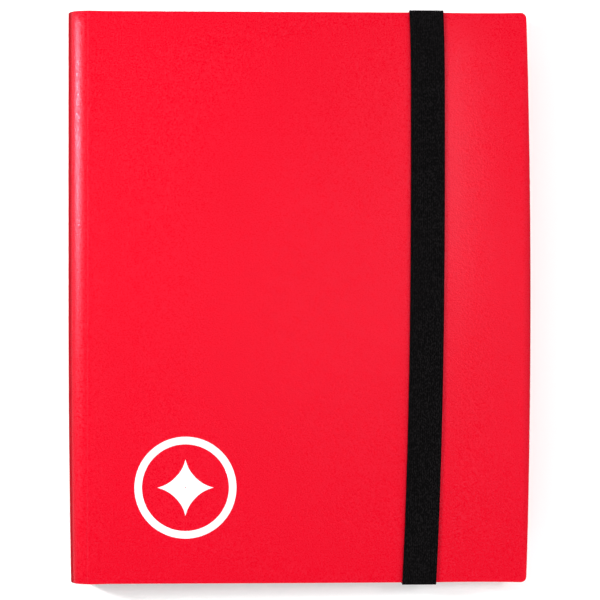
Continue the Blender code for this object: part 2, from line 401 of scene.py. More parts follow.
@dataclass(frozen=True)
class PrintedInk:
    """A thin layer of white ink, printed on the cover."""

    name: str = "white_print"
    white: Colour = (0.92, 0.79, 0.87)
    thin_white: Colour = (0.90, 0.62, 0.70)

    def material(self) -> bpy.types.Material:
        """Builds the material."""
        surface = Surface(self.name)
        grain = surface.noise(1350.0, 2.0)
        pinholes = surface.noise(900.0, 2.0).between(0.66, 0.78)
        colour = surface.mix(pinholes * 0.55, self.white, self.thin_white)
        surface.bump(grain, 0.08 * MM, 0.45)
        return surface.finish(Base_Color=colour, Roughness=0.42 + (grain - 0.5) * 0.12)


@dataclass(frozen=True)
class PageSheet:
    """The black sheet in the middle of each page, and the binding's plastic."""

    name: str = "page_sheet"
    black: Colour = (0.014, 0.014, 0.016)
    grey: Colour = (0.024, 0.024, 0.027)

    def material(self) -> bpy.types.Material:
        """Builds the material."""
        surface = Surface(self.name)
        grain = surface.noise(1500.0, 2.0)
        cloud = surface.noise(25.0, 3.0)
        colour = surface.mix(cloud.between(0.3, 0.8), self.black, self.grey)
        surface.bump(grain, 0.06 * MM, 0.5)
        rough = 0.50 + (grain - 0.5) * 0.2
        return surface.finish(Base_Color=colour, Roughness=rough, Specular_IOR_Level=0.22)


@dataclass(frozen=True)
class PocketFilm:
    """Clear glossy film over the black sheet, with knurled welds round each pocket."""

    welds_u: tuple[float, ...]
    welds_v: tuple[float, ...]
    weld_width: float
    name: str = "pocket_film"
    dark: Colour = (0.016, 0.016, 0.018)
    haze: Colour = (0.026, 0.027, 0.030)
    weld_grey: Colour = (0.034, 0.034, 0.038)
    knurl: float = 5200.0

    def material(self) -> bpy.types.Material:
        """Builds the material."""
        surface = Surface(self.name)
        weld = self._weld_mask(surface)
        ripple = surface.noise(19.0, 1.0, (1.0, 0.6, 1.0))
        fine = surface.noise(420.0, 2.0)
        knurl = (surface.axis("X") * self.knurl).sine() * (surface.axis("Y") * self.knurl).sine()
        haze = surface.mix(ripple.between(0.35, 0.75), self.dark, self.haze)
        colour = surface.mix(weld, haze, self.weld_grey)
        surface.bump(ripple, 1.4 * MM, 0.2)
        surface.bump(fine, 0.03 * MM, 0.15)
        surface.bump((knurl * 0.5 + 0.5) * weld, 0.12 * MM, 0.8)
        rough = 0.17 + fine.between(0.4, 0.9) * 0.06 + weld * 0.22
        return surface.finish(Base_Color=colour, Roughness=rough, Specular_IOR_Level=0.32)

    def _weld_mask(self, surface: Surface) -> Wire:
        """1 on the weld lines, which run along the sheet at welds_u and across it at welds_v."""
        nearest: Wire | None = None
        for name, lines in (("X", self.welds_u), ("Y", self.welds_v)):
            coordinate = surface.axis(name)
            for line in lines:
                gap = coordinate.distance_to(line)
                nearest = nearest.lesser(gap) if nearest else gap
        return 1.0 - nearest.between(self.weld_width * 0.5, self.weld_width * 0.5 + 0.2 * MM)


@dataclass(frozen=True)
class WovenElastic:
    """Matt black elastic: rubber cords lengthwise, covered with a fine weft."""

    name: str = "woven_elastic"
    black: Colour = (0.0007, 0.0006, 0.0007)
    worn: Colour = (0.0105, 0.0092, 0.0099)
    cord_pitch: float = 1.15 * MM
    weft_pitch: float = 0.62 * MM

    def material(self) -> bpy.types.Material:
        """Builds the material."""
        surface = Surface(self.name)
        across = surface.axis("X")
        along = surface.axis("Y")
        cord = (across * (math.tau / self.cord_pitch)).sine() * 0.5 + 0.5
        shifted = along * (math.tau / self.weft_pitch) + cord * 2.2
        weft = shifted.sine() * 0.5 + 0.5
        fibre = surface.noise(1500.0, 2.0, (1.0, 0.6, 1.0))
        weave = cord * 0.40 + weft * 0.30 + fibre * 0.30
        mask = weave.between(0.35, 0.80) * 0.25 + fibre.between(0.48, 0.64) * 0.6
        surface.bump(weave, 0.24 * MM, 0.9)
        return surface.finish(
            Base_Color=surface.mix(mask, self.black, self.worn),
            Roughness=0.80 + fibre * 0.15,
            Specular_IOR_Level=0.03,
            Sheen_Weight=0.003,
            Sheen_Roughness=0.5,
        )


@dataclass(frozen=True)
class RivetSteel:
    """Black-nickel plated steel with fine turning marks."""

    name: str = "rivet_steel"
    dark: Colour = (0.16, 0.16, 0.17)
    bright: Colour = (0.34, 0.33, 0.33)

    def material(self) -> bpy.types.Material:
        """Builds the material."""
        surface = Surface(self.name)
        rings = surface.noise(3800.0, 1.0, (1.0, 0.02, 1.0))
        rubbed = surface.noise(320.0, 4.0).between(0.48, 0.72)
        surface.bump(rings, 0.02 * MM, 0.4)
        return surface.finish(
            Base_Color=surface.mix(rubbed, self.dark, self.bright),
            Metallic=1.0,
            Roughness=0.30 + rings * 0.12 - rubbed * 0.08,
        )


@dataclass(frozen=True)
class SweepPaper:
    """The studio's pale paper floor, lit a little from below."""

    name: str = "sweep_paper"
    white: Colour = (0.93, 0.93, 0.93)
    shade: Colour = (0.90, 0.90, 0.905)
    glow: float = 0.14
    far_white: Colour = (2.0, 2.0, 2.0)

    def material(self) -> bpy.types.Material:
        """Builds the material."""
        surface = Surface(self.name)
        where = surface.add("ShaderNodeTexCoord", {}, {}, "Object")
        cloud = surface.add("ShaderNodeTexNoise", {}, {"Vector": where, "Scale": 3.0})
        fibre = surface.add("ShaderNodeTexNoise", {}, {"Vector": where, "Scale": 900.0})
        surface.bump(fibre, 0.05 * MM, 0.2)
        away = surface.add("ShaderNodeVectorMath", {"operation": "LENGTH"}, {0: where}, "Value")
        return surface.finish(
            Base_Color=surface.mix(cloud, self.white, self.shade),
            Roughness=0.9,
            Emission_Color=surface.mix(away.between(0.7, 2.4), self.white, self.far_white),
            Emission_Strength=self.glow,
        )


# Mesh tools


class Piece:
    """Gathers the points and faces of one piece, then makes it an object."""

    def __init__(self, name: str) -> None:
        """Starts an empty piece."""
        self.name = name
        self.mesh = bmesh.new()
        self.flat = self.mesh.verts.layers.float_vector.new(PLACE)

    def _points(self, grid: Grid) -> list[list[bmesh.types.BMVert]]:
        """Adds a grid's points, each with its place on the flat sheet."""
        rows = [[self.mesh.verts.new(laid) for _, laid in row] for row in grid]
        for vertices, row in zip(rows, grid):
            for vertex, (flat, _) in zip(vertices, row):
                vertex[self.flat] = flat
        return rows

    def _skin(self, rows: Sequence[Sequence[bmesh.types.BMVert]], finish: int = 0) -> None:
        """Adds the faces between each row of points and the next."""
        for first, second in zip(rows, rows[1:]):
            for k in range(len(first) - 1):
                corners = (first[k], first[k + 1], second[k + 1], second[k])
                self.mesh.faces.new(corners).material_index = finish

    def sheet(self, grid: Grid, wrap: bool = False) -> None:
        """Adds one layer of faces over a grid. With wrap its last row joins the first."""
        rows = self._points(grid)
        self._skin(rows + rows[:1] if wrap else rows)

    def slab(self, upper: Grid, lower: Grid, wrap: bool = False, finish: int = 0) -> None:
        """Adds a closed body between two grids of the same size.

        Args:
            upper: The upper side's rows.
            lower: The lower side's rows.
            wrap: Whether the last row joins the first.
            finish: The material's place in the piece's list.
        """
        sides = [self._points(grid) for grid in (upper, lower)]
        if wrap:
            sides = [rows + rows[:1] for rows in sides]
        for rows in sides:
            self._skin(rows, finish)
        for k in (0, -1):
            self._skin([[row[k] for row in rows] for rows in sides], finish)
            if not wrap:
                self._skin([rows[k] for rows in sides], finish)

    def prism(self, outline: Sequence[Vector], low: float, high: float) -> None:
        """Adds a body with an outline in the XZ plane and flat ends.

        Args:
            outline: The outline's points.
            low: The Y of one end.
            high: The Y of the other end.
        """
        laid = [[Vector((p.x, y, p.z)) for p in outline] for y in spread(low, high, 12)]
        rows = self._points([[(place, place) for place in row] for row in laid])
        self._skin([row + row[:1] for row in rows])
        for end in (rows[0], rows[-1]):
            self.mesh.faces.new(end)

    def make(
        self,
        finishes: Sequence[bpy.types.Material],
        closed: bool = True,
        edge: float = 0.0,
        sharp: float = 40.0,
    ) -> bpy.types.Object:
        """Turns the piece into an object.

        Args:
            finishes: Its materials.
            closed: Whether its bodies are closed, so that their faces can be turned outwards.
            edge: The radius that its rims are rounded to.
            sharp: The angle past which an edge is a rim, in degrees.

        Returns:
            The object, at the origin.
        """
        bmesh.ops.remove_doubles(self.mesh, verts=self.mesh.verts, dist=SAME_POINT)
        if closed:
            bmesh.ops.recalc_face_normals(self.mesh, faces=self.mesh.faces)
        data = bpy.data.meshes.new(self.name)
        self.mesh.to_mesh(data)
        self.mesh.free()
        data.shade_smooth()
        for finish in finishes:
            data.materials.append(finish)
        made = bpy.data.objects.new(self.name, data)
        bpy.context.scene.collection.objects.link(made)
        if edge:
            round_rims(made, edge, sharp).harden_normals = True
        else:
            data.set_sharp_from_angle(angle=math.radians(sharp))
        return made


def round_rims(made: bpy.types.Object, width: float, sharp: float) -> bpy.types.BevelModifier:
    """Rounds an object's rims.

    Args:
        made: The object.
        width: How far the rounding reaches from an edge.
        sharp: The angle past which an edge is a rim, in degrees.

    Returns:
        The modifier.
    """
    bevel = made.modifiers.new("rounded_rims", "BEVEL")
    bevel.width = width
    bevel.segments = 2
    bevel.limit_method = "ANGLE"
    bevel.angle_limit = math.radians(sharp)
    return bevel


def settle(
    piece: bpy.types.Object, slot: Slot, nodes: Sequence[str] = (), body: Body | None = None
) -> None:
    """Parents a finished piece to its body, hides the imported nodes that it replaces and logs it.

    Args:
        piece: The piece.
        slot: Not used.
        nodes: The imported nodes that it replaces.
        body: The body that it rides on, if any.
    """
    if body:
        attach(piece, body.value)
    if nodes:
        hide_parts(*nodes)
    LOG.info("%s: %d points, for %s", piece.name, len(piece.data.vertices), ", ".join(nodes) or "-")


@dataclass(frozen=True)
class Panel:
    """A flat panel's own axes: u away from its fold line, v along the line and w through it."""

    fold: Vector
    rise: float
    reach: float

    @classmethod
    def of(cls, joint: str, node: str) -> "Panel":
        """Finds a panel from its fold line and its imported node.

        Args:
            joint: The joint on its fold line.
            node: The node, a flat plate that leaves the fold line.

        Returns:
            The panel.
        """
        fold = hinge_line(joint)
        low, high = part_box(node)
        middle = (low + high) / 2 - fold
        rise = math.atan2(middle.z, middle.x)
        return cls(fold, rise, (high.x - fold.x) / math.cos(rise))

    def spot(self, u: float, v: float, w: float) -> Spot:
        """The flat place and the laid place of one point of the panel."""
        run = Vector((math.cos(self.rise), 0.0, math.sin(self.rise)))
        out = Vector((-math.sin(self.rise), 0.0, math.cos(self.rise)))
        laid = self.fold + run * u + out * w
        laid.y = v
        return Vector((u, v, w)), laid

    def along(self, x: float) -> float:
        """The panel's u at a distance x along the row frame's X."""
        return (x - self.fold.x) / math.cos(self.rise)


# Sub-assemblies


@dataclass
class StrapCourse:
    """The line that the strap's middle takes over the front cover, seen from above."""

    width: float = 19.0 * MM
    widest_y: float = 100.0 * MM
    bulge: float = 0.55 * MM
    tail_drift: float = 4.8025 * MM
    tail_power: float = 2.6
    head_drift: float = 0.75 * MM
    head_power: float = 3.0
    heads: dict[int, float] = field(init=False)
    half: float = field(init=False)

    def __post_init__(self) -> None:
        """Takes the fixed ends' places from the frame."""
        self.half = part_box("front_cover")[1].y
        self.heads = {}
        for side, node in ((1, "strap_rivet_top"), (-1, "strap_rivet_bottom")):
            low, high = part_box(node)
            self.heads[side] = (low.x + high.x) / 2

    def middle(self, y: float) -> float:
        """X of the strap's middle at y."""
        widest = self.heads[1] + self.bulge
        if y > self.widest_y:
            share = (y - self.widest_y) / (self.half - self.widest_y)
            return widest - self.head_drift * share**self.head_power
        share = (self.widest_y - y) / (self.widest_y + self.half)
        return widest - self.tail_drift * share**self.tail_power


@dataclass
class CoverPanel:
    """One cover: a sheet from its scored crease to its bowed fore edge."""

    node: str
    joint: str
    body: Body
    outer: int
    sheet: float = 1.0 * MM
    score_radius: float = 0.42 * MM
    score_run: float = 1.1 * MM
    corner: float = 3.2 * MM
    bow: float = 2.2 * MM
    fore_inset: float = 0.1 * MM
    crest_drop: float = 0.0
    crest_run: float = 13.0 * MM
    crest_fade: float = 0.7
    crown: float = 0.0
    course: StrapCourse | None = None
    strap_rise: float = 0.65 * MM
    dip: float = 4.2 * MM
    flare: float = 5.65 * MM
    curl: float = 0.45 * MM
    pressed: float = 0.30 * MM
    pressed_from: float = 136.0 * MM
    pressed_width: float = 34.0 * MM
    rim: float = 0.22 * MM
    panel: Panel = field(init=False)
    half: float = field(init=False)

    def __post_init__(self) -> None:
        """Takes the panel's place and height from the frame."""
        self.panel = Panel.of(self.joint, self.node)
        self.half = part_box(self.node)[1].y

    def outside(self, u: float, v: float) -> float:
        """Height of the outer face over the middle of the sheet, on the outer side."""
        share = max(0.0, min(1.0, u / self.panel.reach))
        level = self.score_radius + (self.sheet / 2 - self.score_radius) * smooth(
            u / self.score_run
        )
        crest = self.crest_drop * smooth(u / self.crest_run) * (1.0 - self.crest_fade * share)
        crown = self.crown * math.sin(math.pi * share) * (1.0 - (v / self.half) ** 2)
        return level - crest + crown + self._strained(u, v)

    def _strained(self, u: float, v: float) -> float:
        """Height that the strap's pull adds: a rise up to it, and a dip and a flare beyond it."""
        if not self.course:
            return 0.0
        strap = self.panel.along(self.course.middle(v))
        edge = strap + self.course.width / 2
        share = max(0.0, u - edge) / (self.panel.reach - edge)
        strip = -self.dip * share + self.flare * share * share
        depth = max(0.0, abs(v) - self.pressed_from) / (self.half - self.pressed_from)
        near = math.exp(-(((u - strap) / self.pressed_width) ** 2))
        ends = (self.curl * smooth(u / self.crest_run) + self.pressed * near) * depth * depth
        return self.strap_rise * smooth(u / edge) + strip - ends

    def spot(self, u: float, v: float, lift: float) -> Spot:
        """A spot at a height over the outer face."""
        return self.panel.spot(u, v, self.outer * (self.outside(u, v) + lift))

    def _rows(self) -> list[tuple[float, float]]:
        """(v, u of the fore edge) from tail to head, with round corners and a bowed edge."""
        straight = self.half - self.corner
        fore = self.panel.reach - self.fore_inset
        turns = round_corner(self.corner, 6)
        corner = [(straight + past, fore - self.bow - inset) for past, inset in turns]
        stations = spread(-straight, straight, 44)
        middle = [(v, fore - self.bow * (v / straight) ** 2) for v in stations]
        return [(-v, u) for v, u in reversed(corner)] + middle + corner

    def _side(self, side: int) -> Grid:
        """The grid of one face. side is 1 for the outer face and -1 for the inner face."""
        nose = [math.pi * k / 12 for k in range(12, 6, -1)]
        score = self.score_radius
        out = side * self.outer * score
        near = [0.0, 0.5 * MM, 1.1 * MM, 2.0 * MM, 3.5 * MM, 5.5 * MM, 8.0 * MM, 11.0 * MM]
        grid = []
        for v, fore in self._rows():
            row = [self.panel.spot(score * math.cos(a), v, out * math.sin(a)) for a in nose]
            for u in near + spread(15.0 * MM, fore, 46):
                thick = 2 * min(self.outside(u, v), self.sheet / 2) if u < near[3] else self.sheet
                row.append(self.spot(u, v, 0.0 if side > 0 else -thick))
            grid.append(row)
        return grid

    def build(self, plastic: bpy.types.Material) -> None:
        """Makes the cover.

        Args:
            plastic: Its material.
        """
        piece = Piece(f"{self.node}_sheet")
        piece.slab(self._side(1), self._side(-1))
        made = piece.make([plastic], edge=self.rim, sharp=50.0)
        settle(made, Slot.COVER, [self.node], self.body)


@dataclass
class RoundSpine:
    """The round spine between the two creases."""

    node: str = "spine"
    sheet: float = 1.0 * MM
    taper: float = 1.5 * MM
    crown_angle: float = 0.355
    crown_radius: float = 17.9 * MM
    flat_share: float = 0.05
    flat_offset: float = 0.3 * MM
    rim: float = 0.2 * MM

    def _profile(self, half: float) -> list[tuple[float, float, float]]:
        """(distance behind the crease, height over the middle, turn) from the crest to the middle.

        Args:
            half: Half the spine's height and its whole depth.

        Returns:
            The upper half of the outside, as a wide arc, a tighter one and a straight.
        """
        crown = self.crown_radius
        out = crown * math.sin(self.crown_angle)
        shoulder = (half - out) / (1.0 - math.sin(self.crown_angle))
        drop = crown * (1.0 - math.cos(self.crown_angle))
        points = [
            (crown * math.sin(a), half - crown * (1.0 - math.cos(a)), a)
            for a in spread(0.0, self.crown_angle, 7)
        ]
        for a in spread(self.crown_angle, math.pi / 2, 13)[1:]:
            turned = math.cos(self.crown_angle) - math.cos(a)
            behind = out + shoulder * (math.sin(a) - math.sin(self.crown_angle))
            points.append((behind, half - drop - shoulder * turned, a))
        low = points[-1][1]
        points += [(half, h, math.pi / 2) for h in spread(low, 0.0, 2)[1:]]
        return points

    def build(self, plastic: bpy.types.Material) -> None:
        """Makes the spine.

        Args:
            plastic: Its material.
        """
        low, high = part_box(self.node)
        crease = hinge_line("spine_hinge")
        centre_z = (low.z + high.z) / 2
        half = (high.z - low.z) / 2
        upper = self._profile(half)
        whole = [(b, h, math.pi / 2 + a) for b, h, a in upper]
        whole += [(b, -h, math.pi * 1.5 - a) for b, h, a in reversed(upper[:-1])]
        piece = Piece("spine_sheet")
        grid = []
        for v in spread(low.y, high.y, 48):
            narrow = 1.0 - self.taper / half * max(0.0, -v / high.y) ** 2
            row = []
            for behind, height, angle in whole:
                place = Vector((crease.x - behind * narrow, v, centre_z + height))
                arc = half * min(angle - math.pi / 2, math.pi * 1.5 - angle)
                row.append((Vector((arc + 0.5 * MM, v, angle * MM)), place))
            grid.append(row)
        piece.sheet(grid)
        made = piece.make([plastic], closed=False)
        wall = made.modifiers.new("sheet_thickness", "SOLIDIFY")
        wall.thickness = self.sheet
        wall.offset = 1.0
        round_rims(made, self.rim, 50.0)
        settle(made, Slot.COVER, [self.node], Body.SPINE)
        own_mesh(made)


@dataclass
class CoverMark:
    """A generic printed mark: a ring round a four-pointed star."""

    cover: CoverPanel
    centre_x: float = -63.0 * MM
    centre_y: float = -105.6 * MM
    ring_radius: float = 26.2 * MM
    ring_width: float = 4.2 * MM
    star_reach: float = 17.5 * MM
    star_pinch: float = 0.62
    star_blunt: float = 0.012
    star_hub: float = 0.3 * MM
    ink: float = 0.06 * MM
    steps: int = 96

    def _spot(self, radius: float, angle: float, lift: float) -> Spot:
        """A spot on the cover at a radius and angle from the mark's centre."""
        u = self.cover.panel.along(self.centre_x) + radius * math.cos(angle)
        return self.cover.spot(u, self.centre_y + radius * math.sin(angle), lift)

    def _layer(self, name: str, radii: Callable[[float], list[float]]) -> Piece:
        """One printed shape, from the radii of its columns at each angle."""
        piece = Piece(name)
        sides = [
            [[self._spot(r, a, lift) for r in radii(a)] for a in full_turn(self.steps)]
            for lift in (self.ink, -self.ink)
        ]
        piece.slab(*sides, wrap=True)
        return piece

    def _star_radius(self, angle: float) -> float:
        """The star's outline: a pinched superellipse with blunt tips."""
        pinch = self.star_pinch
        c = abs(math.cos(angle)) + self.star_blunt
        s = abs(math.sin(angle)) + self.star_blunt
        return self.star_reach / (c**pinch + s**pinch) ** (1.0 / pinch)

    def build(self, ink: bpy.types.Material) -> None:
        """Makes the ring and the star.

        Args:
            ink: Their material.
        """
        inner = self.ring_radius - self.ring_width / 2
        ring = self._layer("mark_ring", lambda _: spread(inner, inner + self.ring_width, 3))
        star = self._layer("mark_star", lambda a: spread(self.star_hub, self._star_radius(a), 6))
        for piece in (ring, star):
            settle(piece.make([ink]), Slot.PRINT, (), Body.FRONT)


@dataclass
class Binding:
    """The strip across the spine's mouth, and the comb of page tabs welded to it."""

    strip: float = 0.6 * MM
    tab: float = 0.86 * MM
    groove_from: float = 2.0 * MM
    groove_least: float = 0.4 * MM
    sunk: float = 0.25 * MM
    setback: float = 0.5 * MM
    rim: float = 0.15 * MM

    def build(self, plastic: bpy.types.Material) -> None:
        """Makes the strip and the comb.

        Args:
            plastic: Their material.
        """
        low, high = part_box("spine_liner")
        piece = Piece("binding_strip")
        sides = [
            [
                [(Vector((z, y, x)), Vector((x, y, z))) for z in spread(low.z, high.z, 8)]
                for y in spread(low.y, high.y, 12)
            ]
            for x in (high.x, high.x - self.strip)
        ]
        piece.slab(*sides)
        made = piece.make([plastic], edge=self.rim)
        settle(made, Slot.PAGE, ["spine_liner"], Body.SPINE)

        low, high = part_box("page_binding")
        left = low.x - self.sunk
        folds = [hinge_line(f"{name}_fold") for name in page_names()]
        outline = []
        for fold in folds:
            reach = fold.x - self.setback
            root = min(low.x + self.groove_from, reach - self.groove_least)
            below, above = fold.z - self.tab / 2, fold.z + self.tab / 2
            outline += [(root, below), (reach, below), (reach, above), (root, above)]
        outline[0] = (left, outline[0][1])
        outline.append((left, outline[-1][1]))
        comb = Piece("page_tab_stack")
        comb.prism([Vector((x, 0.0, z)) for x, z in outline], low.y, high.y)
        settle(comb.make([plastic]), Slot.PAGE, ["page_binding"], Body.SPINE)


def page_names() -> list[str]:
    """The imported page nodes, from the back cover to the front cover."""
    return sorted(name for name in frame["nodes"] if name.startswith("page_") and name[-1].isdigit())


@dataclass
class PocketPage:
    """One page: a black sheet with three strips of clear pockets welded to each face.

    Places on a page are measured from its fore edge, so that the pockets of all pages line up.
    """

    node: str
    core: float = 0.12 * MM
    film: float = 0.07 * MM
    swell: float = 0.035 * MM
    corner: float = 4.0 * MM
    fore_margin: float = 5.0 * MM
    column_pitch: float = 69.6 * MM
    columns: int = 3
    row_pitch: float = 97.0 * MM
    rows: int = 3
    weld: float = 1.8 * MM
    mouth: float = 2.4 * MM
    notch_depth: float = 5.5 * MM
    notch_reach: float = 10.0 * MM
    bend: float = 5.0 * MM
    bend_lead: float = 0.3 * MM
    tab: float = 0.7 * MM
    weld_share: float = 0.45
    weld_margin: float = 1.5 * MM
    swell_run: float = 9.0 * MM
    sunk: float = 0.01 * MM

    @property
    def welds_u(self) -> tuple[float, ...]:
        """Where the welds along the page lie, from the fore edge inwards."""
        return tuple(self.fore_margin + k * self.column_pitch for k in range(self.columns))

    @property
    def welds_v(self) -> tuple[float, ...]:
        """Where the welds across the page lie."""
        half = self.rows * self.row_pitch / 2
        return tuple(spread(-half, half, self.rows))

    def _spot(self, panel: Panel, from_fore: float, v: float, w: float) -> Spot:
        """A spot at a distance from the fore edge. Its flat place keeps that distance."""
        _, laid = panel.spot(panel.reach - from_fore, v, w)
        return Vector((from_fore, v, w)), laid

    def _core(self, panel: Panel, half: float) -> list[Grid]:
        """The black sheet's upper and lower grids."""
        straight = half - self.corner
        corner = [(straight + past, inset) for past, inset in round_corner(self.corner, 4)]
        ends = [(-v, inset) for v, inset in reversed(corner)]
        lines = ends + [(v, 0.0) for v in spread(-straight, straight, 18)] + corner
        near = [-self.tab] + [k * self.bend / 8 for k in range(10)]
        sides: list[Grid] = []
        for w in (self.core / 2, -self.core / 2):
            grid = []
            for v, inset in lines:
                us = near + spread(8.0 * MM, panel.reach - inset, 12)
                grid.append([self._spot(panel, panel.reach - u, v, w) for u in us])
            sides.append(grid)
        return sides

    def _mouth_inset(self, v: float) -> float:
        """How far the pocket's open edge is cut back at v, for a thumb."""
        middle = min((a + b) / 2 for a, b in zip(self.welds_v, self.welds_v[1:]) if a <= v <= b)
        reach = abs(v - middle) / self.notch_reach
        return self.notch_depth * math.sqrt(1.0 - reach * reach) if reach < 1.0 else 0.0

    def _film_lines(self) -> list[float]:
        """The v of each row of a film strip: close to the welds, round the notches, and between."""
        gaps = [self.weld * 0.5, self.weld * 0.5 + self.weld_margin, 14.0 * MM, 28.0 * MM]
        notch = [self.notch_reach * s for s in (1.0, 0.94, 0.75, 0.45, 0.0)]
        quarter = self.row_pitch / 2
        half_pocket = gaps + [quarter - n for n in notch]
        lines = [self.welds_v[0]]
        for low, high in zip(self.welds_v, self.welds_v[1:]):
            lines += [low + g for g in half_pocket]
            lines += [high - g for g in reversed(half_pocket[:-1])]
            lines.append(high)
        return lines

    def _film(self, panel: Panel, weld_at: float, side: int) -> tuple[Grid, Grid]:
        """The upper and lower grids of one film strip on one face."""
        mouth_at = weld_at + self.column_pitch - self.mouth
        weld_end = weld_at + self.weld * 0.5
        base = self.core / 2
        start = [weld_at - self.weld * 0.8, weld_at, weld_end, weld_end + self.weld_margin]
        upper, lower = [], []
        for v in self._film_lines():
            to_weld = min(abs(v - line) for line in self.welds_v)
            row_swell = smooth((to_weld - self.weld * 0.5) / self.swell_run)
            over, under = [], []
            for place in start + spread(weld_at + 12.0 * MM, mouth_at - self._mouth_inset(v), 4):
                column_swell = smooth((place - weld_end) / self.swell_run)
                welded = to_weld < self.weld * 0.6 or place <= weld_end
                height = self.film * (self.weld_share if welded else 1.0)
                height += self.swell * min(row_swell, column_swell)
                over.append(self._spot(panel, place, v, side * (base + height)))
                under.append(self._spot(panel, place, v, side * (base - self.sunk)))
            upper.append(over)
            lower.append(under)
        return upper, lower

    def build(self, sheet: bpy.types.Material, film: bpy.types.Material) -> None:
        """Makes the page, laid out from its fold line.

        Args:
            sheet: The black sheet's material.
            film: The pockets' material.
        """
        panel = Panel.of(f"{self.node}_fold", self.node)
        piece = Piece(f"{self.node}_pockets")
        piece.slab(*self._core(panel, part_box(self.node)[1].y))
        for weld_at in self.welds_u:
            for side in (1, -1):
                piece.slab(*self._film(panel, weld_at, side), finish=1)
        made = piece.make([sheet, film], sharp=60.0)
        settle(made, Slot.PAGE, [self.node])
        start = panel.spot(-self.bend_lead, 0.0, 0.0)[1]
        end = panel.spot(self.bend, 0.0, 0.0)[1]
        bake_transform(made)
        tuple(start)
        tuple(end)


@dataclass
class ClosingStrap:
    """One length of woven elastic: over the front cover, round both edges and under the back."""

    front: CoverPanel
    back: CoverPanel
    course: StrapCourse
    sheet: float = 1.0 * MM
    bend: float = 1.0 * MM
    tail_end: float = 120.5 * MM
    selvedge: float = 1.3 * MM
    slack: float = 0.26 * MM
    clearance: float = 0.3 * MM
    groove_depth: float = 0.16
    groove_width: float = 0.35 * MM
    rim: float = 0.28 * MM
    ramp_low: float = 4.4 * MM
    ramp_high: float = 15.5 * MM

    def _middle(self, stretch: Stretch, share: float, side: int, y: float) -> float:
        """X of the strap's middle line. Its legs lean over to the rivets."""
        over = self.course.middle(side * min(y, self.front.half))
        if stretch in (Stretch.RUN, Stretch.UPPER_BEND):
            return over
        fixed = self.course.heads[side]
        return over + (fixed - over) * (smooth(share) if stretch is Stretch.LEG else 1.0)

    def _place(
        self, stretch: Stretch, share: float, side: int, across: float, through: float
    ) -> Vector:
        """Lays one point of the strap.

        Args:
            stretch: The stretch that it is on.
            share: How far along that stretch it is, from the front run's middle outwards.
            side: 1 for the head half and -1 for the tail half.
            across: Its distance from the strap's middle line.
            through: Its distance from the middle of the strap's thickness, outwards.

        Returns:
            The point.
        """
        edge = self.front.half + self.clearance + self.sheet / 2
        turn = edge - self.bend
        lift = self.slack + self.sheet / 2
        y = edge
        if stretch is Stretch.RUN:
            y = turn * share
        elif stretch is Stretch.TAIL:
            y = turn + (self.tail_end - turn) * share
        x = self._middle(stretch, share, side, y) + across
        over, under = (
            cover.spot(cover.panel.along(x), side * min(y, turn), lift)[1].z
            for cover in (self.front, self.back)
        )
        high, low = over - self.bend, under + self.bend
        reach = self.bend + through
        angle = share * math.pi / 2
        if stretch is Stretch.RUN:
            z = over + through
        elif stretch is Stretch.TAIL:
            z = under - through
        elif stretch is Stretch.UPPER_BEND:
            y, z = turn + reach * math.sin(angle), high + reach * math.cos(angle)
        elif stretch is Stretch.LOWER_BEND:
            y, z = turn + reach * math.cos(angle), low - reach * math.sin(angle)
        else:
            y, z = turn + reach, high + (low - high) * share
        return Vector((x, side * y, z))

    def _stations(self) -> list[tuple[Stretch, float]]:
        """The stations of one half, from the middle of the front run to the fixed end."""
        counts = zip(Stretch, (22, 6, 14, 6, 8))
        plan = [(stretch, share) for stretch, n in counts for share in spread(0.0, 1.0, n)[1:]]
        return [(Stretch.RUN, 0.0), *plan]

    def _half_thickness(self, across: float) -> float:
        """Half the strap's thickness: full on the selvedges, with a shallow groove inside them."""
        from_edge = self.course.width / 2 - abs(across)
        groove = math.exp(-(((from_edge - self.selvedge) / self.groove_width) ** 2))
        return self.sheet / 2 * (1.0 - self.groove_depth * groove)

    def build(self, elastic: bpy.types.Material) -> None:
        """Makes the strap.

        Args:
            elastic: Its material.
        """
        half = self.course.width / 2
        selvedge = [0.0, 0.7 * MM, 1.0 * MM, 1.3 * MM, 1.6 * MM, 2.0 * MM]
        across = [-half + s for s in selvedge]
        across += spread(-half + 3.5 * MM, half - 3.5 * MM, 8)
        across += [half - s for s in reversed(selvedge)]
        stations = [(-1, s, share) for s, share in reversed(self._stations())]
        stations += [(1, s, share) for s, share in self._stations()[1:]]
        grids: list[Grid] = [[], []]
        along = 0.0
        before: Vector | None = None
        for side, stretch, share in stations:
            middle = self._place(stretch, share, side, 0.0, 0.0)
            along += (middle - before).length if before else 0.0
            before = middle
            for grid, face in zip(grids, (1.0, -1.0)):
                row = []
                for a in across:
                    through = face * self._half_thickness(a)
                    laid = self._place(stretch, share, side, a, through)
                    row.append((Vector((a, along, through)), laid))
                grid.append(row)
        piece = Piece("closing_strap")
        piece.slab(*grids)
        made = piece.make([elastic], edge=self.rim, sharp=60.0)
        settle(made, Slot.ELASTIC, ["strap_band", "strap_tail_top", "strap_tail_bottom"])
        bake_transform(made)


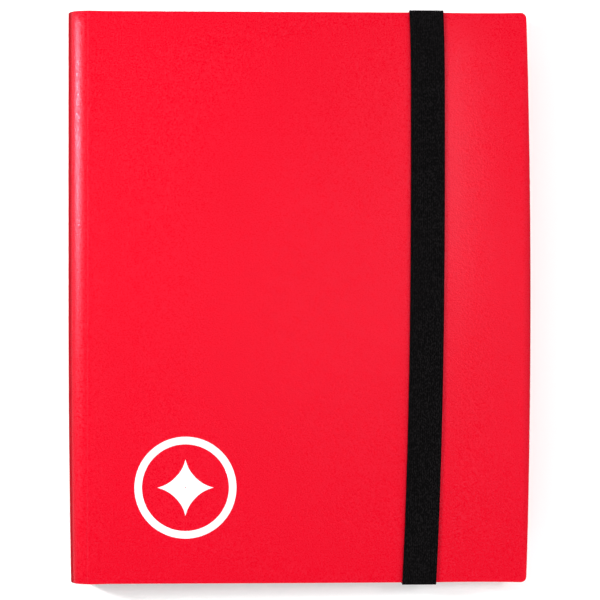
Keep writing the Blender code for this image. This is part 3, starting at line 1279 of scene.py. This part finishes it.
@dataclass
class StrapRivets:
    """The rivets that hold the strap's ends: a low domed head outside and a rolled cap inside."""

    back: CoverPanel
    steps: int = 40
    strap_space: float = 1.3 * MM

    def _turn(self, name: str, node: str, profile: Sequence[tuple[float, float]]) -> Piece:
        """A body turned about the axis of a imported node, from (radius, w) points."""
        low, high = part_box(node)
        middle = (low + high) / 2
        u = self.back.panel.along(middle.x)
        piece = Piece(name)
        grid = []
        for angle in full_turn(self.steps):
            row = []
            for radius, w in profile:
                v = middle.y + radius * math.sin(angle)
                laid = self.back.panel.spot(u + radius * math.cos(angle), v, w)[1]
                row.append((Vector((radius + abs(w), radius * angle, w)), laid))
            grid.append(row)
        piece.sheet(grid, wrap=True)
        return piece

    def build(self, steel: bpy.types.Material) -> None:
        """Makes both rivets and both caps.

        Args:
            steel: Their material.
        """
        under = -self.back.sheet / 2 - self.strap_space
        inside = self.back.sheet / 2
        shank = [(0.0, 0.75), (1.2, 0.75), (1.5, 0.60)]
        dome = [(3.75, 0.0), (4.0, 0.22), (3.92, 0.55), (3.5, 0.86), (2.6, 0.98), (1.4, 0.98)]
        dimple = [(1.1, 0.80), (0.0, 0.76)]
        ring = [(1.8, 0.02), (3.9, 0.02), (4.0, 0.25), (3.8, 0.5), (3.2, 0.62), (2.9, 0.95)]
        lip = [(2.3, 0.98), (1.8, 0.8), (1.8, 0.02)]
        head = [(r * MM, inside + up * MM) for r, up in shank]
        head += [(r * MM, under - down * MM) for r, down in [(1.5, 0.0), *dome, *dimple]]
        rolled = [(r * MM, inside + up * MM) for r, up in ring + lip]
        for end in ("top", "bottom"):
            rivet = self._turn(f"rivet_{end}", f"strap_rivet_{end}", head)
            settle(rivet.make([steel]), Slot.RIVET, [f"strap_rivet_{end}"], Body.BACK)
            cap = self._turn(f"rivet_ring_{end}", f"rivet_cap_{end}", rolled)
            settle(cap.make([steel]), Slot.RIVET, [f"rivet_cap_{end}"], Body.BACK)


@dataclass(frozen=True)
class Lamp:
    """One rectangular softbox that faces the binder. Angles are in degrees, sizes in metres."""

    name: str
    aside: float
    ahead: float
    distance: float
    wide: float
    tall: float
    watts: float

    def build(self) -> None:
        """Makes the lamp. It leans aside from the zenith along X and ahead along Y."""
        aside, ahead = math.radians(self.aside), math.radians(self.ahead)
        lean = Vector((math.sin(aside), math.sin(ahead), math.cos(aside) * math.cos(ahead)))
        place = lean.normalized() * self.distance
        data = bpy.data.lights.new(self.name, "AREA")
        data.shape = "RECTANGLE"
        data.size, data.size_y = self.wide, self.tall
        data.energy = self.watts
        lamp = bpy.data.objects.new(self.name, data)
        lamp.location = place
        lamp.rotation_euler = (-place).to_track_quat("-Z", "Y").to_euler()
        lamp.visible_camera = False
        bpy.context.scene.collection.objects.link(lamp)


@dataclass
class Studio:
    """A pale paper floor, soft lamps and a camera over the front cover."""

    distance: float = 0.748
    frame_width: float = 0.3342
    shift_x: float = 0.6 * MM
    shift_y: float = -1.4 * MM
    sensor: float = 36.0
    flat_radius: float = 1.6
    paper_radius: float = 4.5
    paper_rise: float = 1.6
    paper_gap: float = 0.1 * MM
    focus_drop: float = 4.0 * MM
    zenith: float = 0.08
    horizon: float = 0.24
    lamps: tuple[Lamp, ...] = (
        Lamp("key_softbox", -51.0, 12.5, 0.95, 0.12, 0.30, 9.0),
        Lamp("sheen_softbox", 31.0, 9.5, 1.20, 0.18, 0.18, 3.9),
        Lamp("head_softbox", 6.0, 62.0, 1.30, 1.8, 0.7, 6.2),
        Lamp("tail_softbox", 6.0, -62.0, 1.30, 1.8, 0.7, 9.2),
        Lamp("right_softbox", 64.0, -10.0, 1.30, 1.4, 0.7, 8.4),
        Lamp("ceiling_panel", 3.0, -1.0, 1.60, 0.30, 0.30, 0.75),
    )

    def _camera(self) -> None:
        """Puts the camera straight over the closed binder."""
        low, high = CAD_BOX
        data = bpy.data.cameras.new("front_view")
        data.sensor_width = self.sensor
        data.lens = self.sensor * self.distance / self.frame_width
        data.dof.use_dof = False
        camera = bpy.data.objects.new("front_view", data)
        camera.location = (
            (low.x + high.x) / 2 + self.shift_x,
            (low.y + high.y) / 2 + self.shift_y,
            high.z - self.focus_drop + self.distance,
        )
        bpy.context.scene.collection.objects.link(camera)
        bpy.context.scene.camera = camera

    def _floor(self) -> None:
        """A round sheet of paper under the binder. It rises far away on every side."""
        piece = Piece("studio_floor")
        grid = []
        for angle in full_turn(72):
            row = []
            for radius in [0.0, 0.4, 0.8, 1.2] + spread(self.flat_radius, self.paper_radius, 14):
                rise = smooth((radius - self.flat_radius) / (self.paper_radius - self.flat_radius))
                z = CAD_BOX[0].z - self.paper_gap + self.paper_rise * rise
                place = Vector((radius * math.cos(angle), radius * math.sin(angle), z))
                row.append((place, place))
            grid.append(row)
        piece.sheet(grid, wrap=True)
        piece.make([SweepPaper().material()], closed=False)

    def _world(self) -> None:
        """A sky that is dim overhead and brighter towards the horizon."""
        world = bpy.data.worlds.new("studio_world")
        world.use_nodes = True
        nodes, links = world.node_tree.nodes, world.node_tree.links
        where = nodes.new("ShaderNodeTexCoord")
        height = nodes.new("ShaderNodeSeparateXYZ")
        fade = nodes.new("ShaderNodeMapRange")
        fade.interpolation_type = "SMOOTHSTEP"
        links.new(where.outputs["Generated"], height.inputs[0])
        links.new(height.outputs["Z"], fade.inputs["Value"])
        limits = {"From Min": 0.25, "From Max": 0.85, "To Min": self.horizon, "To Max": self.zenith}
        for name, value in limits.items():
            fade.inputs[name].default_value = value
        links.new(fade.outputs["Result"], nodes["Background"].inputs["Strength"])
        nodes["Background"].inputs["Color"].default_value = (1.0, 1.0, 1.0, 1.0)
        bpy.context.scene.world = world

    def build(self) -> None:
        """Makes the floor, the lamps, the sky and the camera."""
        self._floor()
        for lamp in self.lamps:
            lamp.build()
        self._world()
        view = bpy.context.scene.view_settings
        view.view_transform = "Standard"
        view.look = "None"
        self._camera()


def main() -> None:
    """Builds the sub-assemblies in order, then the studio."""
    logging.basicConfig(level=logging.INFO, format="%(name)s: %(message)s")
    plastic = CoverPlastic().material()
    sheet = PageSheet().material()
    course = StrapCourse()
    back = CoverPanel("back_cover", "spine_hinge", Body.BACK, -1)
    front = CoverPanel(
        "front_cover",
        "front_cover_hinge",
        Body.FRONT,
        1,
        crest_drop=0.5 * MM,
        crown=0.5 * MM,
        course=course,
    )
    back.build(plastic)
    front.build(plastic)
    RoundSpine().build(plastic)
    CoverMark(front).build(PrintedInk().material())
    Binding().build(sheet)
    names = page_names()
    sample = PocketPage(names[0])
    film = PocketFilm(sample.welds_u, sample.welds_v, sample.weld).material()
    for name in names:
        PocketPage(name).build(sheet, film)
    ClosingStrap(front, back, course).build(WovenElastic().material())
    StrapRivets(back).build(RivetSteel().material())
    Studio().build()


if __name__ == "__main__":
    main()
